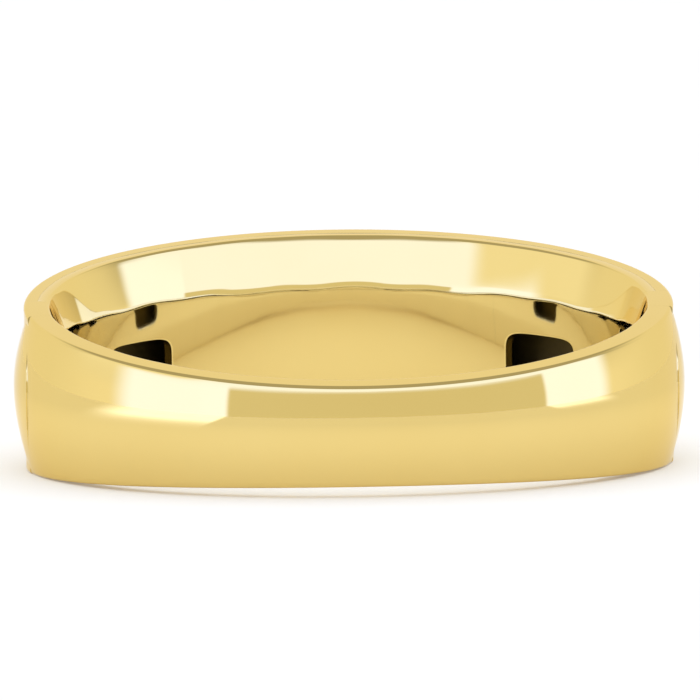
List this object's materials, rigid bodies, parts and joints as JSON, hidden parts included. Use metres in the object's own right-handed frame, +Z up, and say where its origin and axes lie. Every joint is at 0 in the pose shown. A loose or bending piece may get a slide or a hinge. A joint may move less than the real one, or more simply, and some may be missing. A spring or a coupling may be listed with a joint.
{
  "type": "wedding band",
  "caption": "Polished yellow gold finger band: a wide, raised, hollow domed head with flat borders tapers to a narrow domed shank; small windows open the hollow into the finger hole.",
  "frame": {"origin": "centre of the band's bounding box on the ground, close to where the axis of the finger hole meets it", "axes": "+Z up out of the ground the band lies on, +Y from the axis towards the middle of the head, +X to the right shoulder; the axis of the finger hole leans 4.07 degrees from +Z"},
  "size_m": [0.0222, 0.0221, 0.007],
  "materials": {
    "polished_gold": "mirror polish",
    "unpolished_gold": "as soldered, never polished"
  },
  "bodies": {
    "root": {"palm_shank": "polished_gold", "left_shoulder": "polished_gold", "right_shoulder": "polished_gold", "head_dome": "polished_gold", "upper_rail": "polished_gold", "lower_rail": "polished_gold", "head_lining": "polished_gold", "centre_web": "unpolished_gold"}
  },
  "joints": []
}
